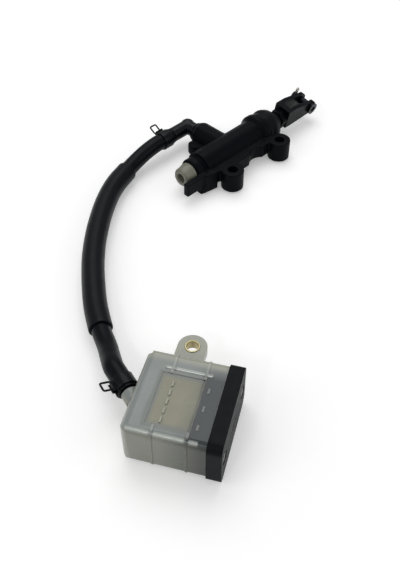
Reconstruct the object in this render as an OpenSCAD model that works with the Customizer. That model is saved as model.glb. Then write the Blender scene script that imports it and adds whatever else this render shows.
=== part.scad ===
// Motorcycle brake master cylinder with supply hose and remote reservoir.
// Frame: origin midway between the two mounting holes, on the mounting face (z = 0).
// X runs along the cylinder bore, +X towards the pushrod.  +Z is the mounting-hole axis.
// The reservoir lies on the same surface, turned about Z.  All sizes are millimetres.

/* [Mounting bosses] */
// Distance between the two mounting holes
mount_spacing = 50; // [40:1:60]
// Clearance hole for an M6 screw (coarse series)
mount_hole_d = 7; // [6.6:0.1:9]
// Outer diameter of each mounting boss
boss_d = 16; // [14:0.5:20]
// Height of each boss above the mounting face
boss_h = 14.5; // [10:0.5:20]

/* [Cylinder barrel] */
// Bore of the cylinder (half an inch)
bore_d = 12.7; // [11:0.1:14]
// Outer diameter of the barrel
barrel_d = 22; // [20:0.5:26]
// Length of the plain barrel, outlet shoulder to rod-end collar
barrel_len = 57; // [50:1:70]
// Sideways distance from the hole line to the bore axis
bore_offset = 20.5; // [18:0.5:26]
// Height of the bore axis above the mounting face
bore_height = 12; // [11:0.5:16]
// Outer diameter of the collar at the rod end
collar_d = 27; // [24:0.5:30]
// Pitch diameter of the M10 outlet thread
port_thread_d = 9.4; // [8:0.1:10]

/* [Inlet] */
// Diameter of the inlet boss
inlet_d = 18; // [16:0.5:22]
// Distance from the bore axis to the face of the inlet boss
inlet_reach = 27.3; // [24:0.1:34]
// Diameter of the recess the elbow sits in
inlet_recess_d = 14; // [12:0.5:16]

/* [Piston and pushrod] */
// Working stroke of the piston
stroke = 12; // [8:0.5:14]
// Radial running clearance of the piston
piston_clear = 0.03; // [0.02:0.01:0.08]
// Pushrod thread diameter (M8)
rod_d = 8; // [6:1:10]
// Distance from the collar face to the clevis pin
pin_reach = 54; // [48:1:64]
// Clevis pin diameter
pin_d = 6; // [5:0.5:8]
// Turn of the clevis about the rod
clevis_turn = 12; // [0:1:90]

/* [Hose] */
// Outer diameter of the rubber hose
hose_od = 11.5; // [10:0.5:14]
// Outside diameter of both spigots
spigot_d = 7; // [6:0.5:9]
// Outer diameter of the protective sleeve
sleeve_od = 14.4; // [13.5:0.1:17]

/* [Reservoir] */
// Tank depth, bottom to the rim under the cap
tank_len = 44; // [36:1:60]
// Tank width
tank_w = 51; // [40:1:60]
// Tank thickness
tank_t = 29; // [24:1:40]
// Wall of the tank
tank_wall = 2.2; // [1.6:0.1:3]
// Corner radius of the tank's closed end
end_r = 6; // [4:0.5:9]
// Height of the cap
cap_h = 8; // [6:0.5:12]
// Clearance hole through the ear collar for an M6 screw
ear_hole_d = 6.6; // [6.4:0.1:7]
// Turn of the reservoir about Z, from the bore direction
reservoir_turn = -60; // [-90:1:0]

/* [Hidden] */
$fn = 48;
e = 0.01;
x_sh = -38;                       // outlet shoulder of the barrel
x_col = x_sh + barrel_len;        // start of the rod-end collar
x_face = x_col + 6;               // face of the collar
x_port = x_sh - 9;                // outlet face
br = barrel_d/2;
bore_r = bore_d/2;
bx = mount_spacing/2;
web_z = 4.5;                      // underside of the web
inlet_x = -9;
inlet_z = bore_height + 0.6;
inlet_end = bore_offset + inlet_reach;
piston_r = bore_r - piston_clear;
x_bot = x_sh + 5;                 // bottom of the bore
x_cup = inlet_x + 2;              // face of the primary cup at rest
x_wash = x_col - 1.6;             // stop washer
x_pin = x_face + pin_reach;
x_nut = x_face + 20;
x_fork = x_nut + 5;
cap_proud = 1;
tank_z = cap_proud;
tank_top = tank_z + tank_t;
lower_line = 16.6;
side_r = 4.2;                     // long edges of the tank
upper_line = 34;
ear_l = 19.5;
ear_w = tank_w + 15;
ear_z = 15;
rt = reservoir_turn;
res_o = [-224.5, -110, 0];
spig_z = 14;
spig_turn = 75 - rt;              // heading of the tank spigot, seen from the tank
// direction of the elbow spigot
el_dir = [-1, 0, 0];
el_c = [inlet_x, inlet_end + 13.5, inlet_z];
el_arm = 16.6;
spig_r = spigot_d/2;

black = [0.06, 0.08, 0.09];
rubber = [0.05, 0.06, 0.07];
steel = [0.62, 0.62, 0.6];
zinc = [0.75, 0.73, 0.66];
brass = [0.72, 0.6, 0.3];
milky = [0.8, 0.82, 0.8];

module x_cyl(x0, x1, r) {
  translate([x0, bore_offset, bore_height]) rotate([0, 90, 0]) cylinder(h = x1 - x0, r = r);
}
module x_cone(x0, x1, r0, r1) {
  translate([x0, bore_offset, bore_height]) rotate([0, 90, 0]) cylinder(h = x1 - x0, r1 = r0, r2 = r1);
}
// revolves a profile given as [radius, x] about the bore axis
module x_turn(pts) {
  translate([0, bore_offset, bore_height]) rotate([0, 90, 0]) rotate_extrude() polygon(pts);
}
module x_ring(x0, x1, ro, ri) {
  difference() {
    x_cyl(x0, x1, ro);
    x_cyl(x0 - 1, x1 + 1, ri);
  }
}
module z_cyl(x, y, z0, z1, r) {
  translate([x, y, z0]) cylinder(h = z1 - z0, r = r);
}
module y_cyl(x, z, y0, y1, r) {
  translate([x, y0, z]) rotate([-90, 0, 0]) cylinder(h = y1 - y0, r = r);
}
module in_res() {
  translate(res_o) rotate([0, 0, rt]) children();
}
module rrect(w, h, r) {
  translate([r, 0]) square([w - 2*r, h]);
  translate([0, r]) square([w, h - 2*r]);
  for (x = [r, w - r]) for (y = [r, h - r]) translate([x, y]) circle(r = r);
}
// rounded box standing along X: l long, y by z in section
module xbox(x, y, z, l, w, t, r) {
  translate([x, y, z]) rotate([90, 0, 90]) linear_extrude(height = l) rrect(w, t, r);
}

// ---- sweeping a ring along a route -------------------------------------------
function unit(v) = v/norm(v);
function cr(a, b, c, d, t) =
  0.5*((2*b) + (c - a)*t + (2*a - 5*b + 4*c - d)*t*t + (3*b - a - 3*c + d)*t*t*t);
function smooth(p, m) = [
  for (i = [0:len(p) - 2]) for (k = [0:m - 1])
    cr(p[max(i - 1, 0)], p[i], p[i + 1], p[min(i + 2, len(p) - 1)], k/m),
  p[len(p) - 1]
];
function along(p, i) = unit(p[min(i + 1, len(p) - 1)] - p[max(i - 1, 0)]);
function hoop(c, t, r, n) = let(s = unit(cross(t, [0, 0, 1])), u = cross(s, t))
  [for (k = [0:n - 1]) c + r*cos(360*k/n)*s + r*sin(360*k/n)*u];
function hoops(p, r, n) = [for (i = [0:len(p) - 1]) for (q = hoop(p[i], along(p, i), r, n)) q];
function skin(m, n, o, f) = [
  for (i = [0:m - 2]) for (k = [0:n - 1])
    let(a = o + i*n + k, b = o + i*n + (k + 1)%n, c = b + n, d = a + n)
      f ? [a, b, c, d] : [d, c, b, a]
];
function rim(n, a, b, f) = [
  for (k = [0:n - 1]) let(q = (k + 1)%n)
    f ? [a + k, b + k, b + q, a + q] : [a + q, b + q, b + k, a + k]
];
module tube(p, ro, ri, n) {
  m = len(p);
  polyhedron(
    points = concat(hoops(p, ro, n), hoops(p, ri, n)),
    faces = concat(skin(m, n, 0, true), skin(m, n, m*n, false),
      rim(n, 0, m*n, true), rim(n, (m - 1)*n, m*n + (m - 1)*n, false)),
    convexity = 8
  );
}
// ---- hose route --------------------------------------------------------------
sp_root = [res_o[0] + 26*0.866, res_o[1] + 26*0.5, spig_z];
sp_dir = [0.2588, 0.9659, 0];
h_start = el_c + (el_arm + 0.6)*el_dir;
h_straight = el_c + (el_arm + 16.4)*el_dir;
h_end = sp_root + 7.5*sp_dir;
h_last = sp_root + 26*sp_dir;
arc = [[-52, 61, 11.2], [-62.5, 60.3, 8.8], [-73, 57.8, 7.6], [-91, 51, 7.4], [-110, 39, 7.4],
  [-131, 21.5, 7.4], [-148, 4, 7.4], [-163, -15, 7.4], [-172, -28, 7.4], [-180, -42, 7.4],
  [-186, -55, 8.6], [-191, -64, 11.2]];
hose_pts = smooth(concat([h_start, el_c + (el_arm + 6)*el_dir, el_c + (el_arm + 11)*el_dir, h_straight],
  arc, [h_last, sp_root + 21*sp_dir, sp_root + 14*sp_dir, h_end]), 4);
sleeve_pts = smooth([for (i = [2:9]) arc[i]], 5);
hose_ir = (spig_r + 0.05)/cos(15);
sleeve_ir = (hose_od/2 + 0.1)/cos(15);

// ---- cylinder ----------------------------------------------------------------
module web_plan() {
  difference() {
    union() {
      polygon([[-46, 10], [-42, 6.5], [-bx - 6, 5], [-bx, 0], [-bx + 6, 3], [bx - 6, 3], [bx, 0],
        [bx + 5, 4], [bx + 2, 6], [x_face, 7.5], [x_face, bore_offset], [-46, bore_offset]]);
      translate([-42.5, 10.5]) circle(r = 4);
    }
    translate([3, -3.5]) circle(r = 9.5);
  }
}
module cylinder_body() {
  color(black) difference() {
    union() {
      x_cyl(x_sh, x_col + 1, br);
      intersection() {
        union() {
          x_cone(x_col - 2, x_col + 1, br, collar_d/2);
          x_cyl(x_col + 1, x_face - 1, collar_d/2);
          x_cone(x_face - 1, x_face, collar_d/2, collar_d/2 - 1);
        }
        translate([x_col - 4, 0, 0]) cube([14, 50, 40]);
      }
      x_cyl(x_sh - 3, x_sh, 8.4);
      x_cyl(x_port + 1, x_sh - 2.5, 9.4);
      x_cyl(x_port, x_port + 1, 7.6);
      translate([0, 0, web_z]) linear_extrude(height = boss_h - web_z) web_plan();
      translate([-61, 8, web_z + 0.8]) cube([26, 4.2, 9.6]);
      translate([0, 0, 0.4]) linear_extrude(height = web_z + 1)
        polygon([[-48, 8], [-45, 7], [-34.5, 5.2], [-34.5, 12.2], [-48, 12.2]]);
      for (x = [-bx, bx]) z_cyl(x, 0, 0, boss_h, boss_d/2);
      y_cyl(inlet_x, inlet_z, bore_offset, inlet_end, inlet_d/2);
      translate([inlet_x - 13, bore_offset, 5]) cube([19, inlet_reach - 5, 7]);
      z_cyl(inlet_x - 11.5, inlet_end - 5.2, 5, 12, 4.6);
    }
    for (x = [-bx, bx]) z_cyl(x, 0, -1, boss_h + 1, mount_hole_d/2);
    x_cyl(x_bot, x_face + 1, bore_r);
    x_cyl(x_sh - 4, x_bot + 1, 2);
    x_cyl(x_port - 1, x_sh - 1.5, port_thread_d/2);
    x_cyl(x_col, x_face + 1, 10.3);
    x_cyl(x_wash + 1.5, x_wash + 1.5 + 1.1, bore_r + 0.85);
    x_cyl(x_wash + 0.1, x_col + 1, bore_r + 0.35);
    y_cyl(inlet_x, inlet_z, inlet_end - 7, inlet_end + 1, inlet_recess_d/2);
    y_cyl(inlet_x, inlet_z, inlet_end - 2.4, inlet_end - 1.2, inlet_recess_d/2 + 0.7);
    y_cyl(inlet_x, inlet_z, bore_offset + br - 2, inlet_end - 6, 3.6);
    y_cyl(inlet_x + 2.2, bore_height, bore_offset, bore_offset + br, 1.1);
    y_cyl(inlet_x - 2.4, bore_height, bore_offset, bore_offset + br, 0.4);
  }
}
module outlet_plug() {
  color(milky) difference() {
    union() {
      x_cyl(x_port, x_port + 6, port_thread_d/2 - 0.1);
      x_cyl(x_port - 2.5, x_port, 7.8);
      x_cone(x_port - 8, x_port - 2.5, 6.8, 7.6);
      x_cone(x_port - 9, x_port - 8, 5.8, 6.8);
    }
    x_cyl(x_port - 10, x_port + 3, 3.4);
  }
}
module return_spring() {
  turns = 7;
  m = turns*14;
  x0 = x_bot + 0.9;
  x1 = x_cup - 3.3;
  pts = [for (i = [0:m]) for (k = [0:5])
    let(a = 360*i/14, r = 4.5 + 0.6*cos(60*k))
    [x0 + (x1 - x0)*i/m + 0.6*sin(60*k), bore_offset + r*cos(a), bore_height + r*sin(a)]];
  color(steel) polyhedron(
    points = pts,
    faces = concat(skin(m + 1, 6, 0, false), [[for (k = [0:5]) k]], [[for (k = [5:-1:0]) m*6 + k]]),
    convexity = 8
  );
}
module spring_seat() {
  color(steel) x_turn([[0, x_cup - 2.6], [5.4, x_cup - 2.6], [5.4, x_cup - 1.9], [2.6, x_cup - 1.9],
    [2.6, x_cup], [0, x_cup]]);
}
module primary_cup() {
  color(rubber) x_turn([[2.7, x_cup - 1.5], [4, x_cup - 1.2], [5, x_cup - 1.7], [piston_r, x_cup - 1.7],
    [piston_r, x_cup + 1.4], [5.6, x_cup + 2], [2.7, x_cup + 2]]);
}
module piston() {
  color(steel) x_turn([[0, x_cup + 0.3], [2.6, x_cup + 0.3], [2.6, x_cup + 2.1], [piston_r, x_cup + 2.1],
    [piston_r, x_cup + 4], [4.2, x_cup + 5], [4.2, x_wash - 10], [piston_r, x_wash - 9],
    [piston_r, x_wash - 7], [4.6, x_wash - 7], [4.6, x_wash - 4], [piston_r, x_wash - 4],
    [piston_r, x_wash - 0.2], [4.1, x_wash - 0.2], [4.1, x_wash - 3.2], [2.6, x_wash - 4.8], [0, x_wash - 5.2]]);
}
module secondary_cup() {
  color(rubber) x_turn([[4.65, x_wash - 6.9], [5.6, x_wash - 6.4], [piston_r, x_wash - 6.9],
    [piston_r, x_wash - 4.4], [5.8, x_wash - 4.1], [4.65, x_wash - 4.1]]);
}
module stop_washer() {
  color(zinc) x_ring(x_wash + 0.1, x_wash + 1.3, bore_r + 0.25, 4.4);
}
module rod_circlip() {
  color(steel) difference() {
    x_ring(x_wash + 1.6, x_wash + 2.5, bore_r + 0.75, bore_r - 0.95);
    translate([x_wash, bore_offset - 2, bore_height]) cube([4, 4, 10]);
  }
}
module pushrod() {
  c = x_wash - 0.9;
  rr = rod_d/2 - 0.02;
  color(zinc) x_turn(concat(
    [for (a = [0:15:75]) [3.8*sin(a), c - 3.8*cos(a)]],
    [[3.8, c], [3.7, c + 1], [rr, c + 1.4], [rr, x_fork + 5.5], [rr - 0.5, x_fork + 6], [0, x_fork + 6]]));
}
module dust_boot() {
  x = x_face;
  color(rubber) x_turn([[8.4, x_col + 1.5], [10.2, x_col + 1.5], [10.2, x + 0.3], [12.2, x + 0.3],
    [12.4, x + 2.2], [12.2, x + 3.4], [13.1, x + 6], [13.2, x + 8], [12.2, x + 10.2], [12, x + 11.2],
    [10.4, x + 13.2], [8, x + 15], [6.2, x + 16.4], [6.2, x + 19], [4.05, x + 19], [4.05, x + 15.6],
    [6.4, x + 13.8], [9, x + 12], [10.6, x + 10], [11.6, x + 8], [11.4, x + 6], [10.6, x + 3.5],
    [8.4, x + 1]]);
}
module lock_nut() {
  color(zinc) difference() {
    translate([x_nut + 0.2, bore_offset, bore_height]) rotate([clevis_turn + 10, 0, 0]) rotate([0, 90, 0])
      cylinder(h = 4.6, r = 13/2/cos(30), $fn = 6);
    x_cyl(x_nut - 1, x_nut + 6, rod_d/2);
  }
}
module in_fork() {
  translate([x_pin, bore_offset, bore_height]) rotate([clevis_turn, 0, 0]) children();
}
fork_in = 7.4;
fork_out = 14;
module clevis() {
  back = x_pin - x_fork;
  color(black) in_fork() difference() {
    union() {
      translate([-back, -fork_out/2, -5.8]) cube([4.5, fork_out, 15.2]);
      for (s = [-1, 1]) translate([0, s*(fork_in + fork_out)/4, 0]) rotate([90, 0, 0])
        translate([0, 0, -(fork_out - fork_in)/4]) linear_extrude(height = (fork_out - fork_in)/2) union() {
          circle(r = 5.2);
          polygon([[-back, -5.8], [-back + 9, -5.8], [-3, -5.2], [2, -4.8], [2, 4.8], [-3, 5.6],
            [-back + 9, 9.4], [-back, 9.4]]);
        }
      rotate([0, -90, 0]) translate([0, 0, back - 6]) cylinder(h = 6, r = 5.8);
    }
    rotate([90, 0, 0]) translate([0, 0, -20]) cylinder(h = 40, r = pin_d/2 + 0.1);
    translate([-back - 1, 0, 0]) rotate([0, 90, 0]) cylinder(h = 8, r = rod_d/2);
    translate([-back + 4.5, -fork_in/2, -8]) cube([back + 10, fork_in, 16]);
  }
}
module clevis_pin() {
  color(zinc) in_fork() rotate([90, 0, 0]) difference() {
    union() {
      translate([0, 0, -11.5]) cylinder(h = 19, r = pin_d/2);
      translate([0, 0, fork_out/2 + 0.1]) cylinder(h = 2, r = 4.6);
    }
    translate([0, 0, fork_out/2 + 1]) cylinder(h = 3, r = 2.4);
    translate([0, 0, -9.3]) rotate([90, 0, 0]) translate([0, 0, -6]) cylinder(h = 12, r = 0.9);
  }
}
module split_pin() {
  color(zinc) in_fork() translate([0, 9.3, 0]) union() {
    translate([0, 0, -5.5]) cylinder(h = 9.6, r = 0.8);
    translate([0, 0, 6]) rotate([0, 90, 0]) translate([0, 0, -0.8]) difference() {
      cylinder(h = 1.6, r = 2.3);
      translate([0, 0, -1]) cylinder(h = 4, r = 1);
    }
    translate([-1.6, -0.7, -6.4]) cube([3.2, 1.4, 1.4]);
  }
}

// ---- inlet elbow, hose and clamps --------------------------------------------
// puts children with their Z along a direction given by heading and fall
module aim(p, heading, fall) {
  translate(p) rotate([0, 90 + fall, heading]) children();
}
module inlet_elbow() {
  color(black) difference() {
    union() {
      y_cyl(inlet_x, inlet_z, inlet_end - 6.8, inlet_end - 2.6, inlet_recess_d/2 - 0.1);
      y_cyl(inlet_x, inlet_z, inlet_end - 3, inlet_end + 1, 5);
      y_cyl(inlet_x, inlet_z, inlet_end + 0.05, inlet_end + 1.6, 8.2);
      y_cyl(inlet_x, inlet_z, inlet_end + 1.2, el_c[1], 5.3);
      y_cyl(inlet_x, inlet_z, inlet_end + 3.2, inlet_end + 4.6, 6.8);
      translate(el_c) sphere(r = 5.9);
      aim(el_c, 180, 0) cylinder(h = el_arm, r = 5.3);
      aim(el_c, 180, 0) cylinder(h = el_arm + 14, r = spig_r);
    }
    y_cyl(inlet_x, inlet_z, inlet_end - 8, el_c[1], 2.3);
    aim(el_c, 180, 0) cylinder(h = el_arm + 20, r = 2.3);
    difference() {
      y_cyl(inlet_x, inlet_z, inlet_end - 5.8, inlet_end - 3.8, inlet_recess_d/2 + 1);
      y_cyl(inlet_x, inlet_z, inlet_end - 6, inlet_end - 3, 5.2);
    }
  }
}
module elbow_seal() {
  color(rubber) translate([inlet_x, inlet_end - 4.8, inlet_z]) rotate([90, 0, 0]) rotate_extrude()
    translate([6.1, 0]) circle(r = 0.88);
}
module elbow_clip() {
  color(steel) difference() {
    y_cyl(inlet_x, inlet_z, inlet_end - 2.3, inlet_end - 1.3, inlet_recess_d/2 + 0.6);
    y_cyl(inlet_x, inlet_z, inlet_end - 3, inlet_end, 5.6);
    translate([inlet_x - 2.5, inlet_end - 3, inlet_z + 2]) cube([5, 3, 8]);
  }
}
module supply_hose() {
  color(rubber) tube(hose_pts, hose_od/2, hose_ir, 12);
}
module hose_sleeve() {
  color(rubber) tube(sleeve_pts, sleeve_od/2, sleeve_ir, 12);
}
// one spring band clamp about Z, its tang loop on the +X side
module clamp_one() {
  r = hose_od/2 + 0.05;
  difference() {
    cylinder(h = 7.4, r = r + 0.8);
    translate([0, 0, -1]) cylinder(h = 10, r = r);
    translate([r - 1, -0.8, -1]) cube([3, 1.6, 10]);
  }
  for (s = [-1, 1]) translate([r, s*1.3 - 0.5, 1]) cube([1.6, 1, 6]);
  translate([r + 1.2, -1.8, 1]) cube([0.9, 1, 6]);
  difference() {
    translate([r + 1.2, 0.8, 0.8]) cube([7, 1, 6.4]);
    translate([r + 2.6, 0, 2]) cube([4.4, 3, 4]);
  }
}
module hose_clamps() {
  color(steel) {
    aim(el_c + (el_arm + 3.4)*el_dir, 180, 0) rotate([0, 0, 238]) clamp_one();
    aim(sp_root + 9*sp_dir, 75, 0) rotate([0, 0, 110]) clamp_one();
  }
}

// ---- reservoir ---------------------------------------------------------------
module tick(l, w) {
  translate([l, w, tank_top - 0.6]) cube([1, 3.2, 0.95]);
}
// the tank's outside: three rounded prisms that cross, so its closed end is rounded all round
module tank_outside() {
  intersection() {
    xbox(0, 0, tank_z, tank_len, tank_w, tank_t, side_r);
    translate([0, 0, tank_z - 1]) linear_extrude(height = tank_t + 2) rrect(tank_len + 12, tank_w, end_r);
    translate([0, tank_w + 1, tank_z]) rotate([90, 0, 0]) linear_extrude(height = tank_w + 2)
      rrect(tank_len + 12, tank_t, end_r);
  }
}
module reservoir_tank() {
  color(milky) in_res() difference() {
    union() {
      tank_outside();
      for (l = [lower_line, upper_line]) xbox(l - 0.6, -0.4, tank_z - 0.4, 1.2, tank_w + 0.8, tank_t + 0.8,
        side_r + 0.4);
      translate([12.6, 39.6, tank_top - 0.2]) cube([25, 1.3, 0.8]);
      translate([ear_l - 8.2, tank_w - 1, ear_z - 2.5]) cube([16.4, ear_w - tank_w + 1, 5]);
      z_cyl(ear_l, ear_w, ear_z - 2.5, ear_z + 2.5, 8.2);
      translate([0, 26, spig_z]) rotate([0, 90, spig_turn]) translate([0, 0, -2]) cylinder(h = 22, r = spig_r);
      translate([0.5, 26, spig_z]) rotate([0, -90, 0]) cylinder(h = 2.6, r = 6.2);
      translate([0, 26, spig_z]) rotate([0, 90, spig_turn]) cylinder(h = 6.6, r = 4.8);
    }
    xbox(tank_wall, tank_wall, tank_z + tank_wall, tank_len, tank_w - 2*tank_wall, tank_t - 2*tank_wall, 2);
    translate([-6, tank_w - 3.2, -1]) cube([9.2, 12, 40]);
    translate([12, 6, tank_top - 0.35]) cube([upper_line - 11.6, 31.4, 2]);
    z_cyl(ear_l, ear_w, 0, 40, 4.25);
    translate([0, 26, spig_z]) rotate([0, 90, spig_turn]) translate([0, 0, 0.8]) cylinder(h = 24, r = 2.3);
    translate([-1.2, 26, spig_z]) rotate([0, 90, 0]) cylinder(h = 6, r = 2.3);
    for (w = [6, tank_w - 6]) translate([tank_len - 9, w, tank_z + tank_t/2]) rotate([0, 90, 0])
      cylinder(h = 12, r = 1.6);
  }
  color(milky) in_res() {
    for (w = [8:5.4:34]) tick(lower_line + 2, w);
    for (w = [8:10.8:34]) tick(upper_line + 3, w);
  }
  color(milky) in_res() for (w = [tank_wall - 0.2, tank_w - 9.4]) difference() {
    translate([tank_len - 12, w, tank_z + tank_t/2 - 3.4]) cube([12, 7.6, 6.8]);
    translate([tank_len - 9, w < 9 ? 6 : tank_w - 6, tank_z + tank_t/2]) rotate([0, 90, 0])
      cylinder(h = 12, r = 1.6);
  }
}
module mount_collar() {
  color(brass) in_res() difference() {
    union() {
      z_cyl(ear_l, ear_w, ear_z - 3, ear_z + 3, 4.2);
    }
    z_cyl(ear_l, ear_w, 0, 40, ear_hole_d/2);
  }
}
module diaphragm() {
  color(rubber) in_res() difference() {
    union() {
      xbox(tank_len + 0.05, 1, tank_z + 1, 1.5, tank_w - 2, tank_t - 2, 2);
      xbox(tank_len - 6.5, 11.2, tank_z + 3.2, 7, tank_w - 22.4, tank_t - 6.4, 2);
    }
    xbox(tank_len - 5.2, 12.6, tank_z + 4.6, 9, tank_w - 25.2, tank_t - 9.2, 1.5);
    for (w = [6, tank_w - 6]) translate([tank_len - 1, w, tank_z + tank_t/2]) rotate([0, 90, 0])
      cylinder(h = 4, r = 2.1);
  }
}
module diaphragm_plate() {
  color(milky) in_res() difference() {
    xbox(tank_len + 1.6, 2, tank_z + 2, 1.2, tank_w - 4, tank_t - 4, 2);
    xbox(tank_len, 14, tank_z + 6, 5, tank_w - 28, tank_t - 12, 1.5);
    for (w = [6, tank_w - 6]) translate([tank_len, w, tank_z + tank_t/2]) rotate([0, 90, 0])
      cylinder(h = 5, r = 2.1);
  }
}
module reservoir_cap() {
  color(black) in_res() difference() {
    xbox(tank_len + 0.1, -cap_proud, 0, cap_h - 0.1, tank_w + 2*cap_proud, tank_t + 2*cap_proud, side_r + 0.8);
    xbox(tank_len, 0.8, tank_z + 0.8, 2.9, tank_w - 1.6, tank_t - 1.6, 2.2);
    xbox(tank_len + 2, 13, tank_z + 5, cap_h - 4.4, tank_w - 26, tank_t - 10, 1.5);
    for (w = [6, tank_w - 6]) translate([tank_len + 2, w, tank_z + tank_t/2]) rotate([0, 90, 0]) union() {
      cylinder(h = 8, r = 2.1);
      translate([0, 0, cap_h - 4.4]) cylinder(h = 8, r = 3.8);
    }
    translate([tank_len + cap_h - 1, tank_w/2 - 6, tank_z + tank_t/2 - 0.6]) cube([2, 12, 1.2]);
  }
}
module cap_screws() {
  color(zinc) in_res() for (w = [6, tank_w - 6]) translate([tank_len - 6, w, tank_z + tank_t/2])
    rotate([0, 90, 0]) difference() {
      union() {
        cylinder(h = cap_h + 4, r = 1.55);
        translate([0, 0, cap_h + 3.7]) cylinder(h = 1.9, r = 3.5);
      }
      for (a = [0, 90]) rotate([0, 0, a]) translate([-2, -0.4, cap_h + 4.5]) cube([4, 0.8, 2]);
    }
}

cylinder_body();
piston();
primary_cup();
secondary_cup();
return_spring();
spring_seat();
stop_washer();
rod_circlip();
pushrod();
dust_boot();
lock_nut();
clevis();
clevis_pin();
split_pin();
inlet_elbow();
elbow_seal();
elbow_clip();
outlet_plug();
supply_hose();
hose_sleeve();
hose_clamps();
reservoir_tank();
mount_collar();
diaphragm();
diaphragm_plate();
reservoir_cap();
cap_screws();
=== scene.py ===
# %% [markdown]
# # A brake master cylinder, its hose and its reservoir
#
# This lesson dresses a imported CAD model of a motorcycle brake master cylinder.
# The CAD gives every place and size.  Blender gives the finish: cast and painted metal,
# rubber, moulded plastic and zinc-plated steel.  Everything is in metres, in one frame:
# +X runs along the cylinder bore towards the pushrod, +Z along the mounting holes.

# %% Load the frame
import math

import bmesh
import bpy
import numpy as np
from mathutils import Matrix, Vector


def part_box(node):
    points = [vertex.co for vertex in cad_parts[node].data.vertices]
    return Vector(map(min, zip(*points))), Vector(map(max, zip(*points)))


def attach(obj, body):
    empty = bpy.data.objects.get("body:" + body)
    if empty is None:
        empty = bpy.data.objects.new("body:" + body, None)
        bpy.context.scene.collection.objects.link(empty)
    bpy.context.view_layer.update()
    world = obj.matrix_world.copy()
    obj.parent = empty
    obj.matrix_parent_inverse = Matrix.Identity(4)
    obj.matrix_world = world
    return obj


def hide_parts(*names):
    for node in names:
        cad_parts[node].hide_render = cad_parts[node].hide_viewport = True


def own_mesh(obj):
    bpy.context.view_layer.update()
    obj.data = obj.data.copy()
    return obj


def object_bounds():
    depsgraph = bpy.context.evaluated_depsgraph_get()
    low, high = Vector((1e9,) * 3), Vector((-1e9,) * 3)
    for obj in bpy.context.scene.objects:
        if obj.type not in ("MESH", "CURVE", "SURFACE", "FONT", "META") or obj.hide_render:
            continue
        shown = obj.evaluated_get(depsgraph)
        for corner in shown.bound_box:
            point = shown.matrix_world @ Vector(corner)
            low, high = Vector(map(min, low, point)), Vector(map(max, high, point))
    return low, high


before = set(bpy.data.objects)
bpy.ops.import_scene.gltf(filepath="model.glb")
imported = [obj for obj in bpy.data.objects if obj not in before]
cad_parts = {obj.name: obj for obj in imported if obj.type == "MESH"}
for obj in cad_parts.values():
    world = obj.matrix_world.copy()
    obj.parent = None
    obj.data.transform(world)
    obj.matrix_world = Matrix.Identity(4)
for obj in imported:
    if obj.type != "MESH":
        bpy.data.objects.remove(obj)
cad_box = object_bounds()
MM = 0.001

# %% [markdown]
# ## The camera
#
# A long thin part shows best from well above, laid out on a table.  The camera looks 46.5
# degrees down and stands at 45 degrees to the cylinder bore, so the barrel, the looped hose
# and the reservoir's top face all show at once.

# %% Camera
FRAME_W, FRAME_H = 400, 570
FOCAL = 720.0
EYE = np.array([-0.32773, -0.26888, 0.32342])
HEADING = 44.85
DOWN = 46.534

lens = bpy.data.cameras.new("camera")
lens.sensor_width = 36.0
lens.lens = FOCAL / FRAME_H * lens.sensor_width
lens.clip_start = 0.01
camera = bpy.data.objects.new("camera", lens)
camera.location = EYE
camera.rotation_euler = (math.radians(90 - DOWN), 0, math.radians(HEADING - 90))
bpy.context.scene.collection.objects.link(camera)
bpy.context.scene.camera = camera
print("lens", round(lens.lens, 2), "mm")

# %% [markdown]
# ## Where the main pieces lie
#
# The bore axis is a line along X.  Its height and its distance from the mounting holes are read
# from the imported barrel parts, so the lesson follows the CAD if the CAD moves.

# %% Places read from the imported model
piston_lo, piston_hi = (np.array(v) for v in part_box("piston"))
AXIS_Y, AXIS_Z = (piston_lo[1:] + piston_hi[1:]) / 2
TURN = math.radians(-60)
TANK_L = np.array([math.cos(TURN), math.sin(TURN), 0])
TANK_W = np.array([-math.sin(TURN), math.cos(TURN), 0])
TANK_O = np.array([-224.5, -110.0, 0]) * MM
print("bore axis y %.4f z %.4f" % (AXIS_Y, AXIS_Z))


# %% [markdown]
# ## Helpers for surfaces
#
# Every new piece is a grid of points worked out with numpy.  `skin` turns a grid into a mesh:
# it can close the grid round either way, and close an open end with a fan of triangles.

# %% Surface helpers
def mesh_object(name, points, faces, sharp=35):
    """Makes a mesh object from points in metres and a list of faces.
    Doubles are merged, normals point out, and edges sharper than `sharp` degrees stay crisp."""
    me = bpy.data.meshes.new(name)
    me.from_pydata([tuple(p) for p in points], [], [tuple(int(i) for i in f) for f in faces])
    bm = bmesh.new()
    bm.from_mesh(me)
    bmesh.ops.remove_doubles(bm, verts=bm.verts, dist=1e-7)
    bmesh.ops.dissolve_degenerate(bm, edges=bm.edges, dist=1e-8)
    bmesh.ops.recalc_face_normals(bm, faces=bm.faces)
    bm.to_mesh(me)
    bm.free()
    me.shade_smooth()
    me.set_sharp_from_angle(angle=math.radians(sharp))
    obj = bpy.data.objects.new(name, me)
    bpy.context.scene.collection.objects.link(obj)
    return obj


def grid_faces(rows, cols, wrap_rows, wrap_cols, first=0):
    """Four-cornered faces between neighbours of a rows x cols grid, numbered row by row."""
    r = np.arange(rows if wrap_rows else rows - 1)
    c = np.arange(cols if wrap_cols else cols - 1)
    r, c = (a.ravel() for a in np.meshgrid(r, c, indexing="ij"))
    r2, c2 = (r + 1) % rows, (c + 1) % cols
    return first + np.stack([r * cols + c, r * cols + c2, r2 * cols + c2, r2 * cols + c], 1)


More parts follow.
